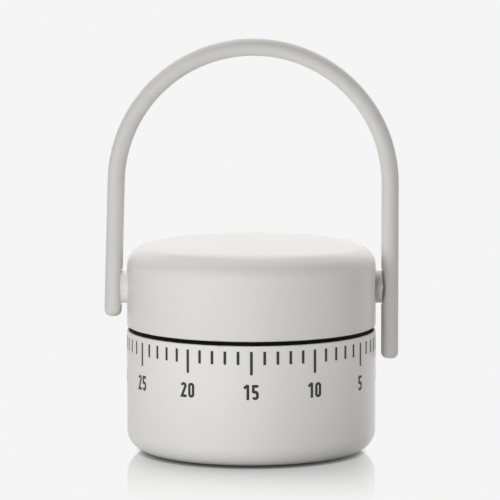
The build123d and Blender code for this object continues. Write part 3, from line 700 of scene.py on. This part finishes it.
def spring_part(name, end, operation):
    """The strip cut by a block that holds its tongue, or the part of it inside that block."""
    shape = bmesh.new()
    shape.from_mesh(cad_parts["mainspring"].data)
    bmesh.ops.remove_doubles(shape, verts=shape.verts, dist=weld_reach)
    strip = settle(shape, name)
    shape = bmesh.new()
    bmesh.ops.create_cube(shape, size=1)
    for corner in shape.verts:
        corner.co.x = (corner.co.x + 0.5) * end * MM
        corner.co.y = (tongue_side - (0.5 - corner.co.y) * tongue_depth) * MM
        corner.co.z = spring_middle + block_height * corner.co.z
    block = settle(shape, name)
    piece = show(name, finish_mesh(combine(strip, block, operation, spring_blue)), spring_blue)
    return piece


spring_coil = spring_part("spring_coil", coil_start, "DIFFERENCE")
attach(spring_coil, "base")
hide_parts("mainspring")
spring_tongue = spring_part("spring_tongue", tongue_end, "INTERSECT")
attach(spring_tongue, "top")


# Main arbor, release cam and click work
# The arbor and its collar are drawn steel, squared for what sits on it. The great wheel is stamped
# brass, the cam, the ratchet wheel and the click are hardened steel, and the click's leaf is blued.
along_z = (5000, 5000, 120)
across_z = (900, 5000, 900)
arbor_steel = drawn_finish(
    "arbor steel",
    colour=(0.60, 0.60, 0.61),
    tint=(0.46, 0.45, 0.44),
    along=along_z,
    rough_range=(0.18, 0.34),
    depth_mm=0.002,
)
lever_steel = drawn_finish(
    "lever steel",
    colour=(0.50, 0.50, 0.50),
    tint=(0.38, 0.37, 0.35),
    along=across_z,
    rough_range=(0.28, 0.46),
    depth_mm=0.003,
)
wheel_brass = turned_finish(
    "wheel brass",
    colour=(0.80, 0.58, 0.25),
    tint=(0.66, 0.44, 0.17),
    rings=70,
    rough_range=(0.2, 0.4),
    depth_mm=0.003,
)
refinish(arbor_steel, "main_arbor", "arbor_collar")
refinish(lever_steel, "release_cam", "ratchet_wheel", "click")
refinish(spring_blue, "click_spring")
refinish(wheel_brass, "great_wheel")


# Wheel train
# Three squared steel arbors with cut pinions, and brass wheels with crossed-out spokes pressed on.
# A small steel star on the first arbor lifts the hammer.
refinish(arbor_steel, "second_pinion", "third_pinion", "escape_pinion")
refinish(wheel_brass, "second_wheel", "third_wheel", "escape_wheel")
refinish(lever_steel, "strike_star")


# Escapement
# The verge is a steel arbor that rocks in the two plates, with an anchor of bent sheet and a plain
# brass balance bar pressed on it.
refinish(arbor_steel, "verge_arbor")
refinish(lever_steel, "verge_anchor")
refinish(wheel_brass, "balance_bar")


# Hammer
# A stamped steel lever that swings on a stud of the lower plate, with a spring wire and a turned
# brass head that reaches into the bell.
hammer_brass = turned_finish(
    "hammer brass",
    colour=(0.78, 0.55, 0.24),
    tint=(0.62, 0.42, 0.16),
    rings=14,
    rough_range=(0.2, 0.36),
    depth_mm=0.003,
)
refinish(lever_steel, "hammer_lever")
refinish(hammer_brass, "hammer_head")


# Upper drum
# A second deep-drawn steel cup, mouth down, in the same kind of coat. The edge of its top is rolled to
# the radius of the lower drum's edge, and a hole is pierced on either side for the pivots.
cap_low, cap_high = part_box("top_cap")
cap_rim = cap_low.z / MM
cap_top = cap_high.z / MM
cap_ceiling = cap_top - shell_wall
pivot_level = sum(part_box("pivot_bosses"), Vector()).z / 2
hole_radius = 1.55 * MM
drill_sides = 48
drill_length = 4 * shell_radius * MM
cap_wall_ring = 45
cap_top_rings = (20, 10)
cap_profile = [(0, cap_ceiling), (shell_inner - inner_bevel, cap_ceiling)]
cap_profile += [(shell_inner, cap_ceiling - inner_bevel)]
cap_profile += arc(shell_inner + rim_round, cap_rim + rim_round, rim_round, 180, 270)
cap_profile += arc(shell_radius - rim_round, cap_rim + rim_round, rim_round, -90, 0)
cap_profile += [(shell_radius, cap_wall_ring)]
cap_profile += arc(shell_radius - shell_edge, cap_top - shell_edge, shell_edge, 0, 90, steps=20)
cap_profile += [(radius, cap_top) for radius in (*cap_top_rings, 0)]
upper_coat = coated_finish(
    "upper drum coat", cap_rim, colour=(0.755, 0.742, 0.71), tint=(0.72, 0.71, 0.685)
)
drill = bmesh.new()
bmesh.ops.create_cone(
    drill,
    cap_ends=True,
    segments=drill_sides,
    radius1=hole_radius,
    radius2=hole_radius,
    depth=drill_length,
)
for corner in drill.verts:
    corner.co = (corner.co.z, corner.co.x, corner.co.y + pivot_level)
drill_mesh = settle(drill, "drill")
pierced = combine(lathe("upper_drum", cap_profile), drill_mesh, "DIFFERENCE", upper_coat)
upper_drum = show("upper_drum", finish_mesh(pierced), upper_coat)
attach(upper_drum, "top")
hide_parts("top_cap")


# Drive disc
# A black plastic moulding pressed in the upper drum. Its hub takes the arbor's square, so turning
# the drum winds the spring.
refinish(carrier_plastic, "drive_disc")


# Pivot bosses and screws
# A moulded plastic spacer on either side, shaped to the drum's wall and as grey and satin as its coat,
# and a zinc-plated screw through it that the handle turns on.
boss_coat = coated_finish(
    "boss coat", pivot_level / MM, colour=(0.74, 0.73, 0.70), tint=(0.69, 0.68, 0.65)
)
refinish(boss_coat, "pivot_bosses")
refinish(plate_zinc, "pivot_screws")


# Handle
# One rod of steel, bent to a half circle with two straight legs and domed ends, in the same kind of
# coat. It turns on the two screws, and its long leg points at the scale.
arch_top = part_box("handle")[1].z / MM
handle_coat = coated_finish(
    "handle coat", arch_top, colour=(0.65, 0.64, 0.61), tint=(0.61, 0.60, 0.575)
)
refinish(handle_coat, "handle")


# Studio
# A pale floor, with a faint mirror and a painted contact shadow round the drum, runs into an
# equally pale backdrop. The light is a soft lamp at the front left, two weak ones at the right and a
# far one above and behind, none of them seen in the gloss. The camera stands a little above the drum.
backdrop_grey = (0.913, 0.913, 0.913, 1)
ambient_colour = (1.0, 0.995, 0.98, 1)
ambient_strength = 0.03
floor_size = 8.0
floor_drop = 0.00002
floor_grey = (0.4, 0.4, 0.4, 1)
mirror_white = (1, 1, 1, 1)
mirror_near = 0.030
mirror_far = 0.1
mirror_share = 0.52
mirror_roughness = 0.06
painted_shadow_reach = 0.0016
camera_distance = 1.3
camera_rise = 7.05
camera_aim = Vector((-0.00039, 0, 0.05855))
frame_width = 0.14466
sensor_width = 36.0

# For each lamp: bearing from the front and rise from level in degrees, distance and size in metres,
# and power in watts
lamps = {
    "key": (-26, 5, 1.0, 0.35, 7.9),
    "right": (105, 12, 1.0, 0.5, 3.6),
    "back_right": (150, 20, 1.0, 0.7, 2.6),
    "overhead": (180, 57, 3.0, 1.0, 86),
}


def looked_at(tree):
    """An output that is 1 where the camera looks, straight or by way of gloss or glass, else 0."""
    ray = add(tree, "ShaderNodeLightPath")
    seen = add(tree, "ShaderNodeMath", operation="MAXIMUM")
    shown = add(tree, "ShaderNodeMath", operation="MAXIMUM")
    tree.links.new(ray.outputs["Is Camera Ray"], seen.inputs[0])
    tree.links.new(ray.outputs["Is Glossy Ray"], seen.inputs[1])
    tree.links.new(seen.outputs["Value"], shown.inputs[0])
    tree.links.new(ray.outputs["Is Transmission Ray"], shown.inputs[1])
    return shown.outputs["Value"]


def set_up(stand, bearing, rise, distance):
    """Puts a lamp or the camera in its place, turned to the point that the camera looks at."""
    around = radians(bearing)
    above = radians(rise)
    towards = Vector((sin(around) * cos(above), -cos(around) * cos(above), sin(above)))
    stand.location = camera_aim + distance * towards
    stand.rotation_euler = (camera_aim - stand.location).to_track_quat("-Z", "Y").to_euler()
    bpy.context.scene.collection.objects.link(stand)


sheet = bmesh.new()
bmesh.ops.create_grid(sheet, x_segments=1, y_segments=1, size=floor_size / 2)
floor_material = bpy.data.materials.new("floor")
floor_material.use_nodes = True
tree = floor_material.node_tree
tree.nodes.clear()
out = add(tree, "ShaderNodeOutputMaterial")
matt = add(tree, "ShaderNodeBsdfDiffuse", {"Color": floor_grey})
pale = add(tree, "ShaderNodeEmission", {"Strength": 1.0})
mirror = add(tree, "ShaderNodeBsdfGlossy", {"Color": mirror_white, "Roughness": mirror_roughness})
polished = add(tree, "ShaderNodeMixShader")
choice = add(tree, "ShaderNodeMixShader")
spot = add(tree, "ShaderNodeTexCoord")
distance = add(tree, "ShaderNodeVectorMath", operation="LENGTH")
fade = add(
    tree,
    "ShaderNodeMapRange",
    {"From Min": mirror_near, "From Max": mirror_far, "To Min": mirror_share, "To Max": 0.0},
    interpolation_type="SMOOTHSTEP",
)
# Painted contact shadow: occlusion darkens the floor's pale glow where it meets the drum.
painted_contact_shadow = add(
    tree, "ShaderNodeAmbientOcclusion", {"Color": backdrop_grey, "Distance": painted_shadow_reach}
)
tree.links.new(spot.outputs["Object"], distance.inputs[0])
tree.links.new(distance.outputs["Value"], fade.inputs["Value"])
tree.links.new(painted_contact_shadow.outputs["Color"], pale.inputs["Color"])
tree.links.new(fade.outputs["Result"], polished.inputs["Fac"])
tree.links.new(pale.outputs["Emission"], polished.inputs[1])
tree.links.new(mirror.outputs["BSDF"], polished.inputs[2])
tree.links.new(looked_at(tree), choice.inputs["Fac"])
tree.links.new(matt.outputs["BSDF"], choice.inputs[1])
tree.links.new(polished.outputs["Shader"], choice.inputs[2])
tree.links.new(choice.outputs["Shader"], out.inputs["Surface"])
floor = show("floor", settle(sheet, "floor"), floor_material)
floor.location.z = -floor_drop

world = bpy.data.worlds.new("studio")
bpy.context.scene.world = world
world.use_nodes = True
tree = world.node_tree
tree.nodes.clear()
out = add(tree, "ShaderNodeOutputWorld")
ambient = add(
    tree, "ShaderNodeBackground", {"Color": ambient_colour, "Strength": ambient_strength}
)
backdrop = add(tree, "ShaderNodeBackground", {"Color": backdrop_grey, "Strength": 1.0})
choice = add(tree, "ShaderNodeMixShader")
tree.links.new(looked_at(tree), choice.inputs["Fac"])
tree.links.new(ambient.outputs["Background"], choice.inputs[1])
tree.links.new(backdrop.outputs["Background"], choice.inputs[2])
tree.links.new(choice.outputs["Shader"], out.inputs["Surface"])

for name, (bearing, rise, distance, size, power) in lamps.items():
    lamp = bpy.data.lights.new(name, "AREA")
    lamp.size = size
    lamp.energy = power
    stand = bpy.data.objects.new(name, lamp)
    stand.visible_glossy = False
    set_up(stand, bearing, rise, distance)

camera_data = bpy.data.cameras.new("camera")
camera_data.sensor_width = sensor_width
camera_data.lens = sensor_width * camera_distance / frame_width
camera = bpy.data.objects.new("camera", camera_data)
set_up(camera, 0, camera_rise, camera_distance)
bpy.context.scene.camera = camera
bpy.context.scene.view_settings.view_transform = "Standard"
